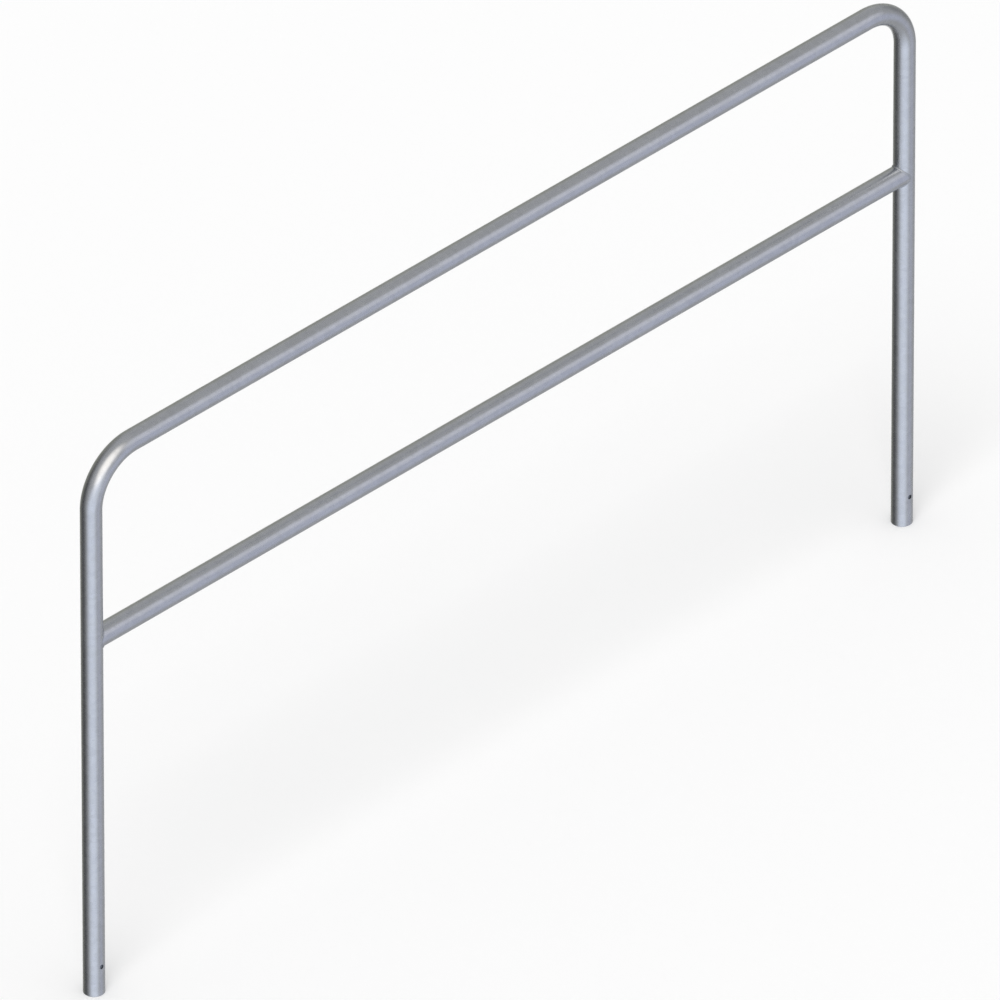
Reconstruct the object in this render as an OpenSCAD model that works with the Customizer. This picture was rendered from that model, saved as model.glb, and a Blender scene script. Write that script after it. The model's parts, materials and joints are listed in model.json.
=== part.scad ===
// Steel hoop barrier: one tube bent into a hoop, with a knee rail welded between its legs.
// Origin: centre of the left leg's end face. +X runs along the rails, +Z is up.

/* [Hoop] */
// Width over the outsides of the two legs
overall_w = 2500; // [1000:50:3000]
// Height of the hoop above the ground
height_above_ground = 1000; // [800:10:1200]
// Length of each leg below the ground
depth_in_ground = 400; // [300:10:600]

/* [Tube] */
// Outside diameter of the hoop and of the knee rail
tube_d = 48.3; // [42.4, 48.3, 60.3]
// Wall thickness of the hoop and of the knee rail
tube_wall = 2.6; // [2:0.1:4]
// Radius of the bends on the tube's centreline, in tube diameters
bend_ratio = 2.5; // [2:0.1:4]

/* [Knee rail] */
// Height of the knee rail's axis as a share of the top rail's, both from the leg ends
knee_share = 0.6667; // [0.5:0.0001:0.75]
// Distance by which the blunt tips of the saddle cut stop short of the leg's axis
saddle_tip = 5; // [4:0.5:8]
// Leg length of the fillet weld round each saddle
weld_leg = 3; // [2:0.5:5]
// Height of the weld's crown over the flat between its toes
weld_crown = 0.7; // [0.3:0.1:1.2]
// Diameter of the vent from each leg into the knee rail, hidden in the joint
vent_d = 12; // [8:1:16]

/* [Feet] */
// Chamfer on the outer edge of each leg's end
foot_chamfer = 1; // [0.5:0.5:1.5]
// Diameter of the cross hole near the foot of each leg
anchor_hole_d = 11; // [8:0.5:14]
// Height of the cross hole's centre above the end of the leg
anchor_hole_z = 75; // [40:5:150]

/* [Hidden] */
$fn = 96;
// Overshoot of a cutting shape past the face it cuts
cut = 1;
tube_r = tube_d / 2;
bore_r = tube_r - tube_wall;
bend_r = bend_ratio * tube_d;
leg_spacing = overall_w - tube_d;
top_z = height_above_ground + depth_in_ground - tube_r;
knee_z = knee_share * top_z;
leg_straight = top_z - bend_r;
// Sections of the weld round the knee rail, and points on its crown from toe to toe
weld_sections = 120;
crown_points = 6;
zinc = [0.66, 0.68, 0.71];
weld_zinc = [0.6, 0.62, 0.65];

// Half angle that the saddle spans on the leg, at angle t round the knee rail from its top
function saddle_angle(t) = asin(sqrt(1 - pow(saddle_tip / tube_r, 2)) * sin(t));

// Point on the leg at the angle round its axis, and at the height over the knee rail's axis
function on_leg(angle, height) = [tube_r * cos(angle), tube_r * sin(angle), height];

// Direction on the unrolled leg that points away from the saddle
function away_from_saddle(t) =
    let (step = 1, rise = (saddle_angle(t + step) - saddle_angle(t - step)) / (2 * step))
    [sin(t), rise] / norm([sin(t), rise]);

function leg_toe(t) =
    let (away = weld_leg * away_from_saddle(t))
    on_leg(saddle_angle(t) + away.x / tube_r * 180 / PI, tube_r * cos(t) + away.y);

function rail_toe(t) =
    [tube_r * cos(saddle_angle(t)) + weld_leg, tube_r * sin(t), tube_r * cos(t)];

// Closed section of the weld: its root, then its crown from the toe on the leg to that on the rail
function weld_section(t) =
    let (
        root = on_leg(saddle_angle(t), tube_r * cos(t)),
        low = leg_toe(t),
        high = rail_toe(t),
        out = (low + high) / 2 - root
    )
    [
        root,
        for (i = [0 : crown_points - 1])
            let (s = i / (crown_points - 1))
            low * (1 - s) + high * s + 4 * s * (1 - s) * weld_crown * out / norm(out)
    ];

// Section through the wall of the tube
module tube_section() {
    difference() {
        circle(r = tube_r);
        circle(r = bore_r);
    }
}

// Straight tube along +Z
module straight_tube(length) {
    linear_extrude(length) tube_section();
}

// Straight part of a leg, its outer edge chamfered where it was cut off
module leg_tube() {
    rotate_extrude() polygon([
        [bore_r, 0],
        [tube_r - foot_chamfer, 0],
        [tube_r, foot_chamfer],
        [tube_r, leg_straight],
        [bore_r, leg_straight]
    ]);
}

// Places its children at the left or the right leg, facing inward
module at_leg(side) {
    if (side == "left") {
        children();
    } else {
        translate([leg_spacing, 0, 0]) mirror([1, 0, 0]) children();
    }
}

// Quarter bend from the top of the left leg to the start of the top rail
module quarter_bend() {
    translate([bend_r, 0, leg_straight])
        mirror([1, 0, 0])
            rotate([90, 0, 0])
                rotate_extrude(angle = 90)
                    translate([bend_r, 0]) tube_section();
}

// Cross hole through both walls of a leg, for the anchor bar
module anchor_hole() {
    translate([0, 0, anchor_hole_z])
        rotate([90, 0, 0])
            cylinder(h = tube_d + 2 * cut, d = anchor_hole_d, center = true);
}

// Vent through the inner wall of a leg, inside the knee rail's joint
module vent_hole() {
    translate([0, 0, knee_z]) rotate([0, 90, 0]) cylinder(h = tube_d, d = vent_d);
}

// Outside of a leg over the height of the knee rail's joint
module leg_outside() {
    translate([0, 0, knee_z - tube_d]) cylinder(h = 2 * tube_d, r = tube_r);
}

// One bent tube: both legs, both bends and the top rail
module hoop_tube() {
    color(zinc) difference() {
        union() {
            for (side = ["left", "right"]) at_leg(side) {
                leg_tube();
                quarter_bend();
            }
            translate([bend_r, 0, top_z])
                rotate([0, 90, 0]) straight_tube(leg_spacing - 2 * bend_r);
        }
        for (side = ["left", "right"]) at_leg(side) {
            anchor_hole();
            vent_hole();
        }
    }
}

// Knee rail, its ends cut to saddles that sit on the legs
module knee_rail() {
    color(zinc) difference() {
        translate([saddle_tip, 0, knee_z])
            rotate([0, 90, 0]) straight_tube(leg_spacing - 2 * saddle_tip);
        for (side = ["left", "right"]) at_leg(side) leg_outside();
    }
}

// Two triangles that join side j of section i to the same side of the next section,
// where a closed ring has n sections of m points each
function weld_faces(i, j, n, m) =
    let (
        next_section = (i + 1) % n,
        next_point = (j + 1) % m,
        a = i * m + j,
        b = next_section * m + j,
        c = next_section * m + next_point,
        d = i * m + next_point
    )
    [[a, b, c], [a, c, d]];

// Fillet weld round the saddle at one leg, a closed ring of sections
module saddle_weld() {
    n = weld_sections;
    m = crown_points + 1;
    color(weld_zinc) translate([0, 0, knee_z]) polyhedron(
        points = [for (i = [0 : n - 1]) each weld_section(i * 360 / n)],
        faces = [for (i = [0 : n - 1], j = [0 : m - 1]) each weld_faces(i, j, n, m)]
    );
}

module left_weld() {
    at_leg("left") saddle_weld();
}

module right_weld() {
    at_leg("right") saddle_weld();
}

hoop_tube();
knee_rail();
left_weld();
right_weld();
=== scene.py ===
"""Dresses the steel hoop barrier: galvanised tube, rippled weld beads, studio and camera."""

import json
import math

import bmesh
import bpy
from mathutils import Matrix, Vector


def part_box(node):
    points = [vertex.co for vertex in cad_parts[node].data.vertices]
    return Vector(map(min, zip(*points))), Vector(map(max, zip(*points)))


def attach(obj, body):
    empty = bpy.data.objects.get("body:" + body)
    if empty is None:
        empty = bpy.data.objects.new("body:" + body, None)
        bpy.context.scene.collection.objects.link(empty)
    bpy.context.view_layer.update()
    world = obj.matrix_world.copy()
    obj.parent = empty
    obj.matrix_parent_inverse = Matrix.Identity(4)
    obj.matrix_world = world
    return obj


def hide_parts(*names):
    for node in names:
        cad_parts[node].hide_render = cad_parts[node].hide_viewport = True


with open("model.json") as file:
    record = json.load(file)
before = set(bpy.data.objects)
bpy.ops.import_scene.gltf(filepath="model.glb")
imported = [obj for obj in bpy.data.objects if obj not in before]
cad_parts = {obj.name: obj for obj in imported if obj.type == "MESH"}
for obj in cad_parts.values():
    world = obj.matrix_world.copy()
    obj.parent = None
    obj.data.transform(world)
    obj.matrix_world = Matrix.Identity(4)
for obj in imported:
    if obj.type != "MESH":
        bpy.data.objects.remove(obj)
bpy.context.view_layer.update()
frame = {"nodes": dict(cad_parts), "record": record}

# The view of the photograph: an isometric view through a very long lens, aimed at the point in
# the middle of the picture, where the picture is VIEW_WIDTH metres wide
AZIMUTH = math.radians(-45)
ELEVATION = math.atan(math.sqrt(0.5))
LENS_MM = 1650
SENSOR_MM = 36
VIEW_WIDTH = 2.138
AIM = Vector((1.2233, 0, 0.669))

# Sizes in metres that no solid's box gives, and the bends' radius in radii of the tube
TUBE_WALL = 0.0026
FOOT_CHAMFER = 0.001
WELD_CROWN = 0.0007
BEND_RATIO = 5

# Sizes that the solids and the anchor holes' mount give
HOOP_LOW, HOOP_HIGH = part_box("hoop_tube")
RAIL_LOW, RAIL_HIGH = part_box("knee_rail")
WELD_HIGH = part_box("left_weld")[1]
ANCHOR_HOLES = next(mount for mount in frame["record"]["mounts"] if mount["name"] == "anchor_holes")
TUBE_R = (RAIL_HIGH.z - RAIL_LOW.z) / 2
BORE_R = TUBE_R - TUBE_WALL
BEND_R = BEND_RATIO * TUBE_R
BEND_LENGTH = math.pi / 2 * BEND_R
LEG_SPACING = HOOP_HIGH.x - HOOP_LOW.x - 2 * TUBE_R
LEG_STRAIGHT = HOOP_HIGH.z - TUBE_R - BEND_R
HALF_HOOP = LEG_STRAIGHT + BEND_LENGTH + LEG_SPACING / 2 - BEND_R
ANCHOR_HOLE_R = ANCHOR_HOLES["dims"]["hole_r_mm"] / 1000
ANCHOR_HOLE_Z = ANCHOR_HOLES["pos_m"][2]
KNEE_Z = (RAIL_HIGH.z + RAIL_LOW.z) / 2
SADDLE_TIP = RAIL_LOW.x
WELD_LEG = WELD_HIGH.z - RAIL_HIGH.z

# Points round the hoop's tube, and spacing of its sections in the bends and on the straights
TUBE_SIDES = 128
BEND_STEP = 0.003
STRAIGHT_STEP = 0.05
# Sides and length of a rod that cuts an anchor hole, and the least angle of the hoop's edges that
# stay sharp
DRILL_SIDES = 64
DRILL_LENGTH = 4 * TUBE_R
SHARP_ANGLE = math.radians(30)

# Ripples round one bead, sections in a ripple, and points from toe to toe
RIPPLES = 64
RIPPLE_SECTIONS = 10
CROWN_POINTS = 11
# Depth of a ripple as a share of the crown and at the toes as a share of the bead's size, how
# far it bows along the bead, in ripples, and how narrow the valleys between ripples are
RIPPLE_DEPTH = 0.45
TOE_DEPTH = 0.05
RIPPLE_BOW = 0.6
VALLEY_POWER = 4
# Step round the rail that gives the slope of the saddle's edge, in radians
SLOPE_STEP = 0.01
# Waves in the bead's size round the joint: their number, their depth as a share and their phase
SIZE_WAVES = ((3, 0.03, 1), (7, 0.02, 0))

# Linear colours of the finish
ZINC = (0.56, 0.58, 0.62)
WELD_ZINC = (0.46, 0.48, 0.52)
FLOOR_WHITE = (0.985, 0.985, 0.985)

# Roughness of the zinc on the tubes and on the beads, and the width of its crystals in metres
TUBE_ROUGHNESS = 0.27
TUBE_CRYSTAL = 0.011
WELD_ROUGHNESS = 0.52
WELD_CRYSTAL = 0.004

# Noises in the zinc: their features in a metre and their octaves
NOISES = {"clouds": (9, 4), "swells": (55, 2), "grain": (900, 3)}
STREAKS = (420, 3)
NOISE_ROUGHNESS = 0.55
# Range that most of a noise lies in
NOISE_RANGE = (0.3, 0.7)
# How much longer a streak is than it is wide
STREAK_LENGTH = 25
# Feathers in one crystal, waves of its ragged edge in its width, and the octaves of both
FEATHERS = 26
FEATHER_OCTAVES = 2
EDGE_WAVES = 0.7
EDGE_OCTAVES = 3
# Middle of a random colour
MIDDLE = (0.5, 0.5, 0.5)
# How far the crystals and the other patterns make the zinc stray in brightness and in roughness
CRYSTAL_TONE = 0.04
CRYSTAL_BLUE = 0.01
CRYSTAL_GLOSS = 0.03
TONE_SWINGS = {"feather": 0.02, "streaks": 0.015, "clouds": 0.025}
GLOSS_SWINGS = {"feather": 0.015, "streaks": 0.015, "clouds": 0.025}
# How far each pattern raises the zinc's skin, in metres
SKIN_HEIGHTS = {"swells": 0.00006, "feather": 0.000004, "grain": 0.000008}

# Half the side of the floor, in metres
FLOOR_HALF = 60

# Light that the metal sees: white where the backdrop lies behind the barrier, and else an even
# grey that soft flags dim by a share and soft panels brighten by a colour. Each is a round spot
# with an azimuth, an elevation and its outer and inner half angles, in degrees.
STUDIO_GREY = (0.48, 0.48, 0.48)
BACKDROP_SPOT = (45, -35, 30, 5)
FLAGS = {
    "lower_rear": ((95, -20, 85, 35), 0.8),
    "right_side": ((15, -5, 40, 10), 0.4),
}
PANELS = {
    "key": ((-125, 40, 45, 5), (1.3, 1.2, 1.05)),
    "front_floor": ((-130, -20, 55, 0), (0.5, 0.55, 0.65)),
    "right_low": ((-55, -15, 35, 0), (0.13, 0.15, 0.25)),
    "right_strip": ((-55, 25, 25, 0), (0.35, 0.35, 0.4)),
    "rear_glow": ((65, -10, 65, 5), (0.25, 0.25, 0.2)),
}

# Light on the floor: an even share from all round, and the rest from one soft lamp
EVEN_LIGHT = 0.78
LAMP_LIGHT = 1 - EVEN_LIGHT
LAMP_AZIMUTH = math.radians(-150)
LAMP_ELEVATION = math.radians(62)
LAMP_SPREAD = math.radians(24)

# Where a mix node keeps its two colours among its inputs, and the mixed one among its outputs
FIRST_COLOUR = 6
SECOND_COLOUR = 7
MIXED_COLOUR = 2


def rgba(colour):
    """A colour with full alpha."""
    return (*colour, 1)


def add_node(tree, kind, inputs=None, **settings):
    """Adds a shader node, with its settings, and fills or links its inputs."""
    node = tree.nodes.new("ShaderNode" + kind)
    for name, value in settings.items():
        setattr(node, name, value)
    for name, value in (inputs or {}).items():
        if isinstance(value, bpy.types.NodeSocket):
            tree.links.new(value, node.inputs[name])
        else:
            node.inputs[name].default_value = value
    return node


def remap(tree, value, low, high, to_low, to_high, smooth=False):
    """Maps a value from one range to another."""
    kind = "SMOOTHSTEP" if smooth else "LINEAR"
    inputs = {"Value": value, "From Min": low, "From Max": high, "To Min": to_low, "To Max": to_high}
    return add_node(tree, "MapRange", inputs, interpolation_type=kind).outputs["Result"]


def spread(tree, random, middle, amount):
    """A value that a random value makes stray from the middle by up to the amount."""
    return remap(tree, random, 0, 1, middle - amount, middle + amount)


def swing(tree, pattern, middle, amount):
    """A value that a noise makes stray from the middle by up to the amount."""
    return remap(tree, pattern, *NOISE_RANGE, middle - amount, middle + amount)


def product(tree, first, second):
    """Product of two values."""
    return add_node(tree, "Math", {0: first, 1: second}, operation="MULTIPLY").outputs["Value"]


def total(tree, first, second):
    """Sum of two values."""
    return add_node(tree, "Math", {0: first, 1: second}, operation="ADD").outputs["Value"]


def scaled(tree, first, second):
    """Product of two vectors or colours, part by part, or of a value and a vector."""
    return add_node(tree, "VectorMath", {0: first, 1: second}, operation="MULTIPLY").outputs["Vector"]


def scaled_sum(tree, first, second, added):
    """The product of two vectors or colours, or of a value and one, plus an added one."""
    inputs = {0: first, 1: second, 2: added}
    return add_node(tree, "VectorMath", inputs, operation="MULTIPLY_ADD").outputs["Vector"]


def dot(tree, first, second):
    """Dot product of two vectors."""
    inputs = {0: first, 1: second}
    return add_node(tree, "VectorMath", inputs, operation="DOT_PRODUCT").outputs["Value"]


def mixed(tree, factor, first, second):
    """Mix of two colours: the first at factor 0, the second at factor 1."""
    inputs = {0: factor, FIRST_COLOUR: first, SECOND_COLOUR: second}
    return add_node(tree, "Mix", inputs, data_type="RGBA").outputs[MIXED_COLOUR]


def noise(tree, place, scale, octaves):
    """Noise about 0.5, with so many features in a metre."""
    inputs = {"Vector": place, "Scale": scale, "Detail": octaves, "Roughness": NOISE_ROUGHNESS}
    return add_node(tree, "TexNoise", inputs).outputs["Fac"]


def bumped(tree, height, distance, normal=None):
    """Normal of a surface raised by up to the distance where the height is 1."""
    inputs = {"Height": height, "Distance": distance}
    if normal:
        inputs["Normal"] = normal
    return add_node(tree, "Bump", inputs).outputs["Normal"]


def node_material(name):
    """A new node material: the material, its node tree and its Principled shader."""
    material = bpy.data.materials.new(name)
    material.use_nodes = True
    return material, material.node_tree, material.node_tree.nodes["Principled BSDF"]


def object_place(tree):
    """Position in the object, in metres."""
    return add_node(tree, "TexCoord").outputs["Object"]


def unrolled_place(tree):
    """Position on the bent tube as if it were straight: its section across, its length in Z."""
    layer = add_node(tree, "UVMap", uv_map="unrolled").outputs["UV"]
    split = add_node(tree, "SeparateXYZ", {0: layer}).outputs
    round_x = add_node(tree, "Math", {0: split["Y"]}, operation="COSINE").outputs["Value"]
    round_y = add_node(tree, "Math", {0: split["Y"]}, operation="SINE").outputs["Value"]
    section = {"X": product(tree, round_x, TUBE_R), "Y": product(tree, round_y, TUBE_R)}
    return add_node(tree, "CombineXYZ", {**section, "Z": split["X"]}).outputs["Vector"]


def crystal_cells(tree, place, crystal):
    """Zinc crystals with ragged edges: three random values and a feathered grain in each."""
    inputs = {"Vector": place, "Scale": EDGE_WAVES / crystal, "Detail": EDGE_OCTAVES}
    ragged = add_node(tree, "TexNoise", inputs).outputs["Color"]
    shifted = scaled_sum(tree, ragged, (crystal, crystal, crystal), place)
    random = add_node(tree, "TexVoronoi", {"Vector": shifted, "Scale": 1 / crystal}).outputs["Color"]
    lean = add_node(tree, "VectorMath", {0: random, 1: MIDDLE}, operation="SUBTRACT")
    across = dot(tree, lean.outputs["Vector"], shifted)
    inputs = {"W": across, "Scale": FEATHERS / crystal, "Detail": FEATHER_OCTAVES}
    feather = add_node(tree, "TexNoise", inputs, noise_dimensions="1D").outputs["Fac"]
    return add_node(tree, "SeparateColor", {"Color": random}).outputs, feather


def zinc_patterns(tree, place, crystal, stretch):
    """Patterns in the zinc: its crystals' random values, and noises of several scales."""
    patterns = {name: noise(tree, place, *sizes) for name, sizes in NOISES.items()}
    patterns["streaks"] = noise(tree, scaled(tree, place, stretch), *STREAKS)
    patterns["crystals"], patterns["feather"] = crystal_cells(tree, place, crystal)
    return patterns


def zinc_colour(tree, colour, patterns):
    """Colour of the zinc, each crystal a little lighter, darker or bluer than the next."""
    tone = spread(tree, patterns["crystals"]["Red"], 1, CRYSTAL_TONE)
    for name, amount in TONE_SWINGS.items():
        tone = product(tree, tone, swing(tree, patterns[name], 1, amount))
    blue = spread(tree, patterns["crystals"]["Blue"], 1, CRYSTAL_BLUE)
    cast = add_node(tree, "CombineXYZ", {"X": tone, "Y": tone, "Z": product(tree, tone, blue)})
    return scaled(tree, cast.outputs["Vector"], colour)


def zinc_gloss(tree, roughness, patterns):
    """Roughness of the zinc, which differs from crystal to crystal and in clouds."""
    gloss = spread(tree, patterns["crystals"]["Green"], roughness, CRYSTAL_GLOSS)
    for name, amount in GLOSS_SWINGS.items():
        gloss = total(tree, gloss, swing(tree, patterns[name], 0, amount))
    return gloss


def zinc_relief(tree, patterns):
    """Normal of the zinc's skin: slow swells, feathers and a fine grain."""
    normal = None
    for name, height in SKIN_HEIGHTS.items():
        normal = bumped(tree, patterns[name], height, normal)
    return normal


def galvanised(name, colour, roughness, crystal, place_on, stretch):
    """Hot-dip galvanised steel: faint crystals and lengthwise streaks in a cloudy satin skin."""
    material, tree, shader = node_material(name)
    patterns = zinc_patterns(tree, place_on(tree), crystal, stretch)
    tree.links.new(zinc_colour(tree, colour, patterns), shader.inputs["Base Color"])
    tree.links.new(zinc_gloss(tree, roughness, patterns), shader.inputs["Roughness"])
    tree.links.new(zinc_relief(tree, patterns), shader.inputs["Normal"])
    shader.inputs["Metallic"].default_value = 1
    return material


def spaced(start, end, step):
    """Evenly spaced values from the start to before the end, no further apart than the step."""
    count = math.ceil((end - start) / step)
    return [start + (end - start) * index / count for index in range(count)]


def hoop_stations():
    """Distances along the hoop's axis of its sections, from the left foot to the right one."""
    bend_end = LEG_STRAIGHT + BEND_LENGTH
    half = [0]
    half += spaced(FOOT_CHAMFER, LEG_STRAIGHT, STRAIGHT_STEP)
    half += spaced(LEG_STRAIGHT, bend_end, BEND_STEP)
    half += spaced(bend_end, HALF_HOOP, STRAIGHT_STEP)
    return half + [HALF_HOOP] + [2 * HALF_HOOP - along for along in reversed(half)]


def hoop_axis(along):
    """Point on the hoop's axis at a distance from the left foot, and the outward direction."""
    if along > HALF_HOOP:
        point, outward = hoop_axis(2 * HALF_HOOP - along)
        return Vector((LEG_SPACING - point.x, 0, point.z)), Vector((-outward.x, 0, outward.z))
    if along <= LEG_STRAIGHT:
        return Vector((0, 0, along)), Vector((-1, 0, 0))
    turn = min((along - LEG_STRAIGHT) / BEND_R, math.pi / 2)
    past = max(along - LEG_STRAIGHT - BEND_LENGTH, 0)
    outward = Vector((-math.cos(turn), 0, math.sin(turn)))
    return Vector((BEND_R + past, 0, LEG_STRAIGHT)) + BEND_R * outward, outward


def hoop_section(along, radius):
    """Circle of points round the hoop's axis."""
    point, outward = hoop_axis(along)
    sideways = Vector((0, 1, 0))
    turns = [2 * math.pi * side / TUBE_SIDES for side in range(TUBE_SIDES)]
    return [point + radius * (math.cos(turn) * outward + math.sin(turn) * sideways) for turn in turns]


def ring_faces(rings, points, flipped=False):
    """Faces that join rings of points into a closed loop."""
    faces = []
    for ring in range(rings):
        after = (ring + 1) % rings
        for point in range(points):
            beside = (point + 1) % points
            face = [ring * points + point, after * points + point]
            face += [after * points + beside, ring * points + beside]
            faces.append(face[::-1] if flipped else face)
    return faces


def unroll(mesh, stations):
    """Gives each corner of the tube's faces its length in metres and its angle in radians."""
    places = []
    for ring, along in enumerate(stations):
        beyond = stations[(ring + 1) % len(stations)]
        for side in range(TUBE_SIDES):
            angle = 2 * math.pi * side / TUBE_SIDES
            further = angle + 2 * math.pi / TUBE_SIDES
            places += [along, angle, beyond, angle, beyond, further, along, further]
    mesh.uv_layers.new(name="unrolled").data.foreach_set("uv", places)


def new_piece(name, points, faces, material):
    """A smooth-shaded mesh object that rides on the barrier."""
    mesh = bpy.data.meshes.new(name)
    mesh.from_pydata(points, [], faces)
    mesh.polygons.foreach_set("use_smooth", [True] * len(mesh.polygons))
    mesh.materials.append(material)
    piece = bpy.data.objects.new(name, mesh)
    bpy.context.scene.collection.objects.link(piece)
    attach(piece, "root")
    return piece


def anchor_drill():
    """Pair of rods that cut the anchor holes through both legs."""
    drill = bmesh.new()
    for across in (0, LEG_SPACING):
        place = Matrix.Translation((across, 0, ANCHOR_HOLE_Z)) @ Matrix.Rotation(math.pi / 2, 4, "X")
        size = {"radius1": ANCHOR_HOLE_R, "radius2": ANCHOR_HOLE_R, "depth": DRILL_LENGTH}
        bmesh.ops.create_cone(drill, cap_ends=True, segments=DRILL_SIDES, matrix=place, **size)
    mesh = bpy.data.meshes.new("anchor_drill")
    drill.to_mesh(mesh)
    drill.free()
    return bpy.data.objects.new("anchor_drill", mesh)


def cut_holes(piece, drill):
    """Cuts the drill's shape from the piece for good, and removes the drill."""
    bpy.context.scene.collection.objects.link(drill)
    cutter = piece.modifiers.new("holes", "BOOLEAN")
    cutter.object = drill
    cutter.solver = "EXACT"
    scene_state = bpy.context.evaluated_depsgraph_get()
    mesh = bpy.data.meshes.new_from_object(piece.evaluated_get(scene_state))
    piece.modifiers.clear()
    piece.data = mesh
    bpy.data.objects.remove(drill)


def bent_hoop(material):
    """The bent tube with its wall, chamfered feet and anchor holes, in finely stepped bends."""
    stations = hoop_stations()
    points = []
    for along in stations:
        at_end = along in (stations[0], stations[-1])
        points += hoop_section(along, TUBE_R - FOOT_CHAMFER if at_end else TUBE_R)
    for along in reversed(stations):
        points += hoop_section(along, BORE_R)
    hoop = new_piece("hoop", points, ring_faces(2 * len(stations), TUBE_SIDES), material)
    unroll(hoop.data, stations + stations[::-1])
    cut_holes(hoop, anchor_drill())
    hoop.data.set_sharp_from_angle(angle=SHARP_ANGLE)
    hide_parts("hoop_tube")


def saddle_angle(turn):
    """Angle of the saddle's edge round the leg, at an angle round the knee rail from its top."""
    return math.asin(math.sqrt(1 - (SADDLE_TIP / TUBE_R) ** 2) * math.sin(turn))


def on_leg(angle, height):
    """Point on the left leg, at an angle round it and a height over the knee rail's axis."""
    return Vector((TUBE_R * math.cos(angle), TUBE_R * math.sin(angle), height))


def away_from_saddle(turn):
    """Direction on the unrolled leg that points away from the saddle."""
    change = saddle_angle(turn + SLOPE_STEP) - saddle_angle(turn - SLOPE_STEP)
    return Vector((math.sin(turn), change / (2 * SLOPE_STEP))).normalized()


def bead_size(turn):
    """Size of the bead at an angle round the rail, a little uneven as a hand weld is."""
    dips = [depth * (1 + math.sin(waves * turn + phase)) for waves, depth, phase in SIZE_WAVES]
    return 1 - sum(dips)


def arch(across):
    """Parabola over the bead's width: 0 at both toes and 1 in the middle."""
    return 4 * across * (1 - across)


def valley(turn, across):
    """How deep in the valley between two ripples a point is: 0 on a ripple, 1 in the valley."""
    phase = RIPPLES * turn / (2 * math.pi) - RIPPLE_BOW * arch(across)
    return math.cos(math.pi * phase) ** VALLEY_POWER


def bead_section(turn):
    """Points of the bead's section: its root, then its crown from the leg to the rail."""
    leg = WELD_LEG * bead_size(turn) * (1 - TOE_DEPTH * valley(turn, 0))
    angle = saddle_angle(turn)
    height = TUBE_R * math.cos(turn)
    away = leg * away_from_saddle(turn)
    root = on_leg(angle, height)
    low = on_leg(angle + away.x / TUBE_R, height + away.y)
    high = Vector((TUBE_R * math.cos(angle) + leg, TUBE_R * math.sin(turn), height))
    out = ((low + high) / 2 - root).normalized()
    points = [root]
    for index in range(CROWN_POINTS):
        across = index / (CROWN_POINTS - 1)
        rise = arch(across) * WELD_CROWN * bead_size(turn)
        rise *= 1 - RIPPLE_DEPTH * valley(turn, across)
        points.append(low.lerp(high, across) + rise * out)
    return points


def weld_bead(name, node, mirrored, material):
    """Rippled fillet bead round the knee rail's joint with one leg, in place of its plain solid."""
    rings = RIPPLES * RIPPLE_SECTIONS
    points = []
    for ring in range(rings):
        for x, y, height in bead_section(2 * math.pi * ring / rings):
            points.append((LEG_SPACING - x if mirrored else x, y, KNEE_Z + height))
    bead = new_piece(name, points, ring_faces(rings, CROWN_POINTS + 1, mirrored), material)
    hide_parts(node)


def dress(node, material):
    """Gives a CAD node one material."""
    node.data.materials.clear()
    node.data.materials.append(material)


def direction(azimuth, elevation):
    """Unit vector at an azimuth from +X and an elevation, both in radians."""
    level = math.cos(elevation)
    return Vector((level * math.cos(azimuth), level * math.sin(azimuth), math.sin(elevation)))


def soft_spot(tree, seen, azimuth, elevation, outer, inner):
    """Soft round spot in the studio: 1 inside its inner half angle, 0 beyond its outer one."""
    towards = direction(math.radians(azimuth), math.radians(elevation))
    edge = math.cos(math.radians(outer))
    full = math.cos(math.radians(inner))
    return remap(tree, dot(tree, seen, towards), edge, full, 0, 1, smooth=True)


def studio_light(tree):
    """What the metal sees in each direction: the flagged grey, the panels and the backdrop."""
    seen = add_node(tree, "TexCoord").outputs["Generated"]
    light = STUDIO_GREY
    for spot, share in FLAGS.values():
        left = remap(tree, soft_spot(tree, seen, *spot), 0, 1, 1, 1 - share)
        light = scaled(tree, left, light)
    for spot, colour in PANELS.values():
        light = scaled_sum(tree, soft_spot(tree, seen, *spot), colour, light)
    backdrop = soft_spot(tree, seen, *BACKDROP_SPOT)
    return mixed(tree, backdrop, light, rgba(FLOOR_WHITE))


def make_studio():
    """World: the floor's white to the camera, a soft studio to the metal, even light to the rest."""
    world = bpy.data.worlds.new("studio")
    world.use_nodes = True
    # The light on the barrier and the floor is even, so no map of its bright places is needed
    world.cycles.sampling_method = "NONE"
    tree = world.node_tree
    path = add_node(tree, "LightPath").outputs
    inputs = {0: path["Is Glossy Ray"], 1: path["Is Transmission Ray"]}
    mirror = add_node(tree, "Math", inputs, operation="MAXIMUM").outputs["Value"]
    even = rgba((EVEN_LIGHT, EVEN_LIGHT, EVEN_LIGHT))
    unseen = mixed(tree, mirror, even, studio_light(tree))
    colour = mixed(tree, path["Is Camera Ray"], unseen, rgba(FLOOR_WHITE))
    tree.links.new(colour, tree.nodes["Background"].inputs["Color"])
    bpy.context.scene.world = world


def make_lamp():
    """Soft lamp that gives the barrier its shadow on the floor."""
    data = bpy.data.lights.new("soft_lamp", "SUN")
    data.angle = LAMP_SPREAD
    # A sun of strength pi from straight overhead lights the floor as much as an even world of 1
    data.energy = LAMP_LIGHT * math.pi / math.sin(LAMP_ELEVATION)
    lamp = bpy.data.objects.new("soft_lamp", data)
    towards = direction(LAMP_AZIMUTH, LAMP_ELEVATION)
    lamp.rotation_mode = "QUATERNION"
    lamp.rotation_quaternion = towards.to_track_quat("Z", "Y")
    lamp.visible_glossy = False
    bpy.context.scene.collection.objects.link(lamp)


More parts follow.
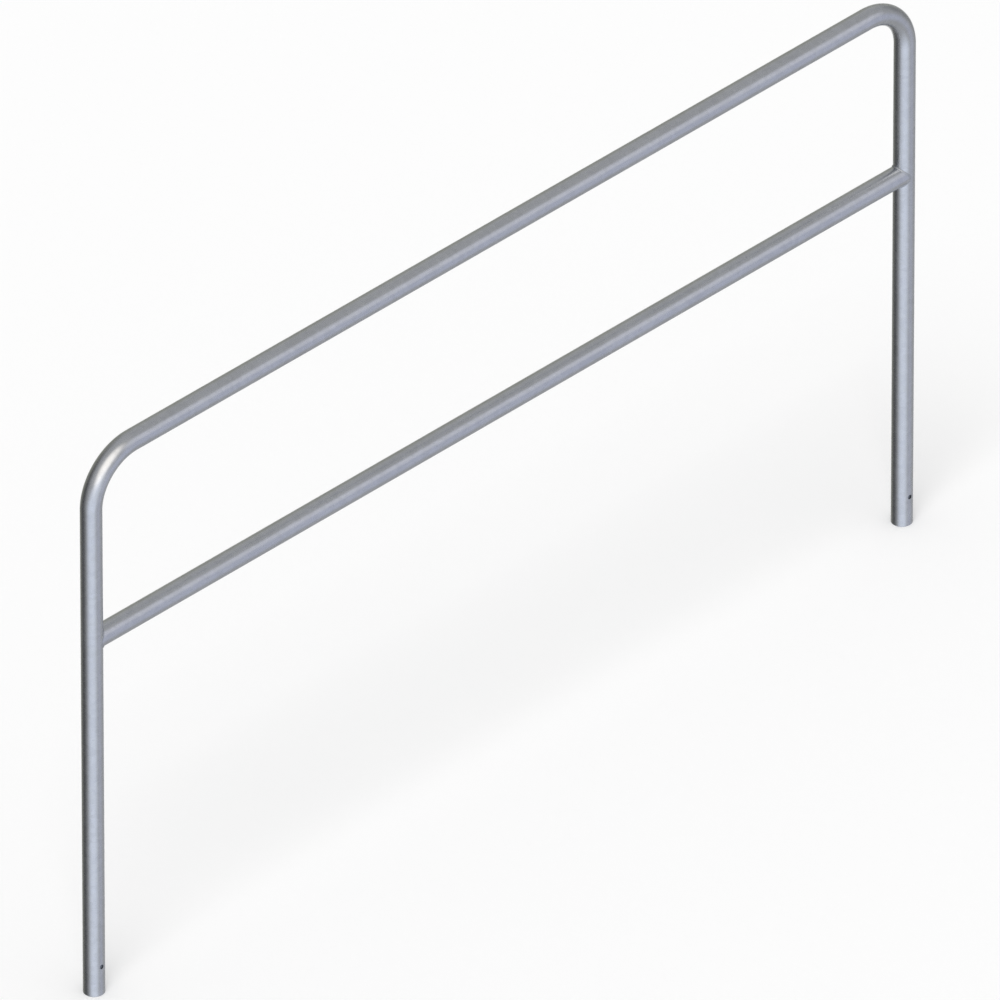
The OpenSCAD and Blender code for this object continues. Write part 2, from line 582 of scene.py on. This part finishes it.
def make_floor():
    """Plain white floor, in whose place the metal sees the studio's lower half."""
    mesh = bpy.data.meshes.new("floor")
    half = FLOOR_HALF
    corners = [(-half, -half, 0), (half, -half, 0), (half, half, 0), (-half, half, 0)]
    mesh.from_pydata(corners, [], [(0, 1, 2, 3)])
    floor = bpy.data.objects.new("floor", mesh)
    floor.location = (AIM.x, 0, 0)
    floor.visible_glossy = False
    bpy.context.scene.collection.objects.link(floor)
    material, _, shader = node_material("floor")
    shader.inputs["Base Color"].default_value = rgba(FLOOR_WHITE)
    shader.inputs["Roughness"].default_value = 1
    shader.inputs["Specular IOR Level"].default_value = 0
    mesh.materials.append(material)


def make_camera():
    """Camera at the photograph's angle."""
    data = bpy.data.cameras.new("camera")
    data.lens = LENS_MM
    data.sensor_width = SENSOR_MM
    distance = VIEW_WIDTH * LENS_MM / SENSOR_MM
    data.clip_end = 2 * distance
    camera = bpy.data.objects.new("camera", data)
    back = direction(AZIMUTH - math.pi / 2, ELEVATION)
    camera.location = AIM + back * distance
    camera.rotation_mode = "QUATERNION"
    camera.rotation_quaternion = (-back).to_track_quat("-Z", "Y")
    bpy.context.scene.collection.objects.link(camera)
    bpy.context.scene.camera = camera


along_x = (1 / STREAK_LENGTH, 1, 1)
along_z = (1, 1, 1 / STREAK_LENGTH)
rail_zinc = galvanised("rail_zinc", ZINC, TUBE_ROUGHNESS, TUBE_CRYSTAL, object_place, along_x)
hoop_zinc = galvanised("hoop_zinc", ZINC, TUBE_ROUGHNESS, TUBE_CRYSTAL, unrolled_place, along_z)
weld_zinc = galvanised("weld_zinc", WELD_ZINC, WELD_ROUGHNESS, WELD_CRYSTAL, object_place, (1, 1, 1))
dress(frame["nodes"]["knee_rail"], rail_zinc)
bent_hoop(hoop_zinc)
weld_bead("left_bead", "left_weld", False, weld_zinc)
weld_bead("right_bead", "right_weld", True, weld_zinc)
make_camera()
make_studio()
make_lamp()
make_floor()
bpy.context.scene.view_settings.view_transform = "Standard"
bpy.context.view_layer.update()
